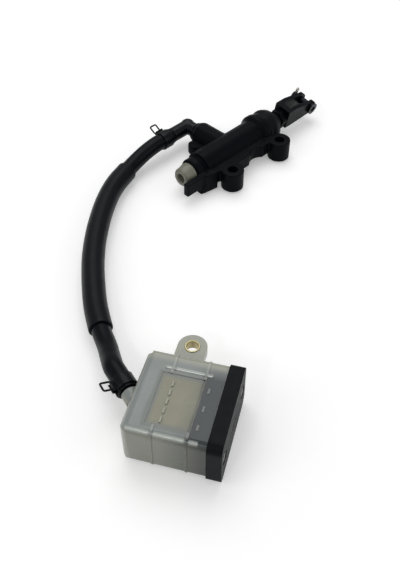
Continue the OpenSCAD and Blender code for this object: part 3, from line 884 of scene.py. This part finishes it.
a = np.radians(np.linspace(-62, 242, 25))
eye = np.stack([1.62 * np.cos(a), 0 * a, 6.05 + 1.62 * np.sin(a)], 1)
leg = np.array(
    [[0.47, 0, 3.6], [0.43, 0, 1], [0.43, 0, -3], [0.5, 0, -4.9], [0.95, 0, -5.7], [1.5, 0, -5.95]]
)
wire_line = np.concatenate([leg[::-1], eye, leg * [-1, 1, 1]]) * MM
wire_line = smooth_line(wire_line + np.array([0, 9.3 * MM, 0]), 4)
tan = np.gradient(wire_line, axis=0)
tan /= np.linalg.norm(tan, axis=1)[:, None]
flat = np.array([0.0, 1.0, 0.0])
out = np.cross(tan, flat)
ring = circle(1, 14) * np.array([0.4, 0.62]) * MM
grid = wire_line[:, None] + ring[None, :, :1] * out[:, None] + ring[None, :, 1:] * flat
split = skin("split_pin_wire", in_fork(grid.reshape(-1, 3)).reshape(grid.shape), caps=(True, True))
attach(split, "pin")
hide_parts("split_pin")
dress(split, zinc)

# %% [markdown]
# ## The elbow
#
# The elbow is moulded in black plastic.  It turns the hose from level to straight down into the
# boss, where a ring seals it and a clip holds it.  The CAD's round bars and ball are blended by
# the same cell-and-relax method as the casting, in finer cells.

# %% The elbow
elbow = cast("inlet_elbow", "elbow_moulding", 0.26 * MM, 9, 0.5)
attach(elbow, "cylinder")
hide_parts("inlet_elbow")
dress(elbow, elbow_plastic)
print("elbow faces:", len(elbow.data.polygons))

# %% [markdown]
# ## The shipping plug
#
# A new cylinder is sold with its outlet closed by a soft milky plug, so nothing gets in.  It is
# a hollow turned moulding with a wide rim, and it is pulled out before the brake line goes on.

# %% The plug
plug_profile = np.array(
    [
        [0.0, -44.0], [3.35, -44.0], [3.3, -55.2], [3.9, -56.0], [5.6, -56.0], [6.75, -54.9], [7.2, -51.5],
        [7.5, -49.6], [7.8, -49.3], [7.8, -47.15], [7.5, -47.0], [4.58, -47.0], [4.5, -41.6],
        [4.1, -41.0], [0.0, -41.0],
    ]
) * MM
line = rounded(plug_profile[1:-1], 0.4 * MM, 4)
line = np.concatenate([plug_profile[:1], line, plug_profile[-1:]])
plug = skin("plug_moulding", turned(line, 72, (0, AXIS_Y, AXIS_Z)), sharp=50)
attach(plug, "plug")
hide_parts("outlet_plug")

# %% [markdown]
# ### A milky moulding
#
# Natural polypropylene lets some light in and scatters it, so it looks soft and a little waxy.
# Subsurface scattering with a short reach gives that, with a thin clear coat for its gloss.

# %% The milky plug's finish
milky_plug = finish_of(
    "milky_plug", linear(124, 124, 110), linear(110, 110, 97), rough=0.42, rough_spread=0.08, grain_size=900,
    bump=0.1, coat=0.15, coat_rough=0.25,
)
shader = milky_plug.node_tree.nodes["Principled BSDF"]
shader.inputs["Subsurface Weight"].default_value = 0.35
shader.inputs["Subsurface Radius"].default_value = (1.0, 0.9, 0.75)
shader.inputs["Subsurface Scale"].default_value = 0.0012
dress(plug, milky_plug)

# %% [markdown]
# ## The reservoir
#
# The tank is a thin moulding in translucent plastic.  Two raised lines round it mark the lowest
# and highest level of the fluid.  Between the lines the fluid's warm colour shows through the wall,
# and close to the cap the black diaphragm does.  The colour is set by the distance along the
# tank, worked out from object coordinates with a dot product, so it stays put from any side.

# %% The tank
tank = softened("reservoir_tank", "tank_moulding", 0.3 * MM, 2, 30)
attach(tank, "cylinder")
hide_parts("reservoir_tank")
print("tank faces:", len(tank.data.polygons))


TANK_TOP_Z = 30.0


def along_tank(tree, axis, origin):
    """Distance in millimetres from `origin` along `axis`, from object coordinates."""
    pos = tree.nodes.new("ShaderNodeTexCoord").outputs["Object"]
    node = tree.nodes.new("ShaderNodeVectorMath")
    node.operation = "DOT_PRODUCT"
    tree.links.new(pos, node.inputs[0])
    node.inputs[1].default_value = tuple(float(v) * 1000 for v in axis)
    return maths(tree, "SUBTRACT", node.outputs["Value"], float(origin @ axis) * 1000)


def ramp(tree, value, start, width):
    """A number that goes from 0 at `start` to 1 at `start` + `width`."""
    return maths(tree, "DIVIDE", maths(tree, "SUBTRACT", value, start), width, clamp=True)


def band(tree, value, low, high, soft):
    """1 between low and high, 0 outside, with soft borders."""
    rise, fall = ramp(tree, value, low, soft), ramp(tree, value, high - soft, soft)
    return maths(tree, "SUBTRACT", rise, fall, clamp=True)


def tank_paint(tree, colour):
    """Colour zones by the distances l along the tank and w across it: grey walls, a warm window
    where the fluid lies against the wall, and the dark diaphragm near the cap.  It also paints
    light: painted shade round the window, and painted highlights on the rib's crests, the front
    edge and all that stands raised."""
    l = along_tank(tree, TANK_L, TANK_O)
    w = along_tank(tree, TANK_W, TANK_O)
    pos = tree.nodes.new("ShaderNodeTexCoord").outputs["Object"]
    cloud = add(tree, "ShaderNodeTexNoise", [("Vector", pos)], Scale=60.0, Detail=3.0)
    wander = maths(tree, "MULTIPLY", maths(tree, "SUBTRACT", cloud.outputs["Fac"], 0.5), 2.4)
    l2 = maths(tree, "ADD", l, wander)
    normal = tree.nodes.new("ShaderNodeNewGeometry").outputs["Normal"]
    up = add(tree, "ShaderNodeSeparateXYZ", [("Vector", normal)]).outputs["Z"]
    top = ramp(tree, up, 0.5, 0.3)
    side = maths(tree, "SUBTRACT", 1.0, top, clamp=True)
    # the side walls are warmer, and darker towards the cap
    colour = mix_colour(tree, maths(tree, "MULTIPLY", side, 0.8), colour, linear(136, 137, 124))
    end = maths(tree, "MULTIPLY", ramp(tree, l2, 20.0, 22.0), side)
    colour = mix_colour(tree, end, colour, linear(62, 65, 60))
    # the top: a band of painted shade round the window, then the window itself
    rim = maths(tree, "MULTIPLY", band(tree, l2, 9.4, 38.5, 1.4), band(tree, w, 3.6, 39.0, 1.4))
    rim = maths(tree, "MULTIPLY", maths(tree, "MULTIPLY", rim, top), 0.75)
    colour = mix_colour(tree, rim, colour, linear(112, 116, 110))
    glass = maths(tree, "MULTIPLY", band(tree, l2, 12.6, 40.0, 1.6), band(tree, w, 6.6, 36.5, 2.0))
    warm = mix_colour(tree, cloud.outputs["Fac"], linear(146, 144, 122), linear(120, 120, 104))
    colour = mix_colour(tree, maths(tree, "MULTIPLY", glass, top), colour, warm)
    # the diaphragm behind the wall near the cap
    dark = maths(tree, "MULTIPLY", ramp(tree, l2, 32.6, 2.6), ramp(tree, w, 43.5, -5.0))
    colour = mix_colour(tree, maths(tree, "MULTIPLY", dark, top), colour, linear(46, 52, 54))
    far = maths(tree, "MULTIPLY", ramp(tree, l2, 26.0, 14.0), top)
    colour = mix_colour(tree, maths(tree, "MULTIPLY", far, 0.45), colour, linear(60, 68, 72))
    # the thin ear lets more light through, and the rib's two crests get a painted highlight
    colour = mix_colour(tree, ramp(tree, w, 43.6, 3.0), colour, linear(158, 160, 148))
    painted_crest_highlight = maths(tree, "ADD", band(tree, w, 39.3, 40.2, 0.2), band(tree, w, 40.7, 41.5, 0.2))
    painted_crest_highlight = maths(tree, "MULTIPLY", painted_crest_highlight, band(tree, l, 13.2, 37.4, 0.6))
    painted_crest_highlight = maths(tree, "MULTIPLY", painted_crest_highlight, maths(tree, "SUBTRACT", 1.0, band(tree, l, 15.6, 18.8, 0.5)))
    painted_crest_highlight = maths(tree, "MULTIPLY", painted_crest_highlight, maths(tree, "SUBTRACT", 1.0, band(tree, l, 32.6, 34.8, 0.5)))
    colour = mix_colour(tree, maths(tree, "MULTIPLY", painted_crest_highlight, top), colour, linear(232, 235, 232))
    # painted highlights: a pale band along the thick front edge between the level lines,
    # and a paler tint on all that stands raised above the top face
    glow = maths(tree, "MULTIPLY", band(tree, w, 0.5, 3.0, 0.9), band(tree, l, 3.0, 40.0, 1.0))
    glow = maths(tree, "MULTIPLY", glow, maths(tree, "SUBTRACT", 1.0, band(tree, l, 15.2, 18.0, 0.6)))
    glow = maths(tree, "MULTIPLY", glow, maths(tree, "SUBTRACT", 1.0, band(tree, l, 32.6, 35.4, 0.6)))
    colour = mix_colour(tree, maths(tree, "MULTIPLY", glow, 0.6), colour, linear(206, 210, 202))
    height = add(tree, "ShaderNodeSeparateXYZ", [("Vector", pos)]).outputs["Z"]
    painted_raised_highlight = ramp(tree, maths(tree, "MULTIPLY", height, 1000.0), TANK_TOP_Z + 0.08, 0.15)
    return mix_colour(tree, maths(tree, "MULTIPLY", painted_raised_highlight, 0.25), colour, linear(196, 199, 190))


tank_milk = finish_of(
    "tank_milk", linear(138, 145, 143), linear(128, 134, 131), rough=0.3, rough_spread=0.08, grain_size=1200,
    bump=0.12, bump_height=0.00003, coat=0.3, coat_rough=0.1, paint=tank_paint, dust=0.02, specular=0.25,
    wear_colour=linear(176, 178, 170), wear=0.5, wear_radius=0.0005,
)
shader = tank_milk.node_tree.nodes["Principled BSDF"]
shader.inputs["Subsurface Weight"].default_value = 0.15
shader.inputs["Subsurface Radius"].default_value = (1.0, 0.95, 0.85)
shader.inputs["Subsurface Scale"].default_value = 0.0015
dress(tank, tank_milk)

# %% [markdown]
# ## The cap, its screws and the parts under it
#
# The cap is black glass-filled plastic, held by two cross-head screws.  Under it lie a
# stiff plate and the rubber diaphragm that follows the fluid down.

# %% The cap and its parts
cap = softened("reservoir_cap", "cap_moulding", 0.6 * MM, 3)
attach(cap, "lid")
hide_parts("reservoir_cap")
dress(cap, black_plastic)

screws = softened("cap_screws", "screws_steel", 0.22 * MM, 2)
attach(screws, "lid")
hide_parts("cap_screws")
dress(screws, zinc)

skirt = softened("diaphragm", "diaphragm_rubber", 0.35 * MM, 2)
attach(skirt, "lid")
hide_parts("diaphragm")
dress(skirt, seal_rubber)

# %% [markdown]
# ## The mounting collar
#
# A brass bush moulded into the tank's ear takes the squeeze of the bolt, so the soft plastic
# doesn't creep.

# %% The collar
collar = softened("mount_collar", "collar_bush", 0.3 * MM, 2)
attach(collar, "cylinder")
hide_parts("mount_collar")
dress(collar, collar_brass)

# %% [markdown]
# ## Parts inside
#
# The piston, its cups, the washers and the seals can't be seen until the thing is taken apart.
# Their CAD shapes are right, so they only need a finish.

# %% Finishes for the inner parts
INNER = {
    "piston": (piston_alloy, "piston_alloy"),
    "primary_cup": (seal_rubber, "seal_rubber"),
    "secondary_cup": (seal_rubber, "seal_rubber"),
    "spring_seat": (spring_steel, "spring_steel"),
    "stop_washer": (zinc, "zinc_steel"),
    "rod_circlip": (spring_steel, "spring_steel"),
    "elbow_seal": (seal_rubber, "seal_rubber"),
    "elbow_clip": (spring_steel, "spring_steel"),
    "diaphragm_plate": (milky_plug, "milky_plug"),
}
for name, (material, slot) in INNER.items():
    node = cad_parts[name]
    for k in range(max(1, len(node.material_slots))):
        if k < len(node.material_slots):
            node.material_slots[k].material = material
        else:
            node.data.materials.append(material)
print("inner parts dressed:", len(INNER))

# %% [markdown]
# ## Floor, backdrop and light
#
# The part lies on a white table under large soft lamps.  Black satin things are seen mostly by
# what they reflect, so the lamps are wide: one above and behind for the long highlights on
# the barrel and the hose, and two weak ones at the sides.  The table shows plain white to the
# camera where nothing shades it, and still takes the shadow.

# %% Floor
floor_z = cad_box[0][2]
half = 2.2
floor_mesh = bpy.data.meshes.new("floor")
floor_mesh.from_pydata(
    [(-half, -half, floor_z), (half, -half, floor_z), (half, half, floor_z), (-half, half, floor_z)],
    [], [(0, 1, 2, 3)],
)
floor = bpy.data.objects.new("floor", floor_mesh)
bpy.context.scene.collection.objects.link(floor)

table = bpy.data.materials.new("white_table")
table.use_nodes = True
tree = table.node_tree
shader = tree.nodes["Principled BSDF"]
shader.inputs["Base Color"].default_value = (0.86, 0.86, 0.86, 1)
shader.inputs["Roughness"].default_value = 0.9
shader.inputs["Specular IOR Level"].default_value = 0.1
path = tree.nodes.new("ShaderNodeLightPath")
seen = maths(tree, "MAXIMUM", path.outputs["Is Camera Ray"], path.outputs["Is Glossy Ray"])
seen = maths(tree, "MAXIMUM", seen, path.outputs["Is Transmission Ray"])
glow = tree.nodes.new("ShaderNodeEmission")
tree.links.new(maths(tree, "MULTIPLY", seen, 0.30), glow.inputs["Strength"])
both = tree.nodes.new("ShaderNodeAddShader")
tree.links.new(shader.outputs[0], both.inputs[0])
tree.links.new(glow.outputs[0], both.inputs[1])
tree.links.new(both.outputs[0], tree.nodes["Material Output"].inputs["Surface"])
floor.data.materials.append(table)


# %% World and lamps
world = bpy.data.worlds.new("studio")
bpy.context.scene.world = world
world.use_nodes = True
tree = world.node_tree
tree.nodes.clear()
path = tree.nodes.new("ShaderNodeLightPath")
seen = maths(tree, "MAXIMUM", path.outputs["Is Camera Ray"], path.outputs["Is Transmission Ray"])
dim = add(tree, "ShaderNodeBackground", Color=(1, 1, 1, 1), Strength=0.42)
full = add(tree, "ShaderNodeBackground", Color=(1, 1, 1, 1), Strength=1.0)
mixed = tree.nodes.new("ShaderNodeMixShader")
tree.links.new(seen, mixed.inputs[0])
tree.links.new(dim.outputs[0], mixed.inputs[1])
tree.links.new(full.outputs[0], mixed.inputs[2])
out = tree.nodes.new("ShaderNodeOutputWorld")
tree.links.new(mixed.outputs[0], out.inputs["Surface"])


def soft_lamp(name, place, size, power):
    """A square lamp at `place` that faces the middle of the object."""
    middle = (Vector(cad_box[0]) + Vector(cad_box[1])) / 2
    data = bpy.data.lights.new(name, "AREA")
    data.shape = "SQUARE"
    data.size = size
    data.energy = power
    lamp = bpy.data.objects.new(name, data)
    lamp.location = place
    lamp.rotation_euler = (middle - Vector(place)).to_track_quat("-Z", "Y").to_euler()
    bpy.context.scene.collection.objects.link(lamp)
    return lamp


soft_lamp("lamp_above", (0.25, 0.35, 1.05), 0.9, 5.2)
soft_lamp("lamp_left", (-0.95, 0.25, 0.7), 0.6, 1.6)
soft_lamp("lamp_right", (0.35, -0.95, 0.6), 0.6, 1.2)
soft_lamp("lamp_glint", (-0.95, -0.34, 0.75), 0.12, 0.8)
scene = bpy.context.scene
scene.view_settings.view_transform = "Standard"
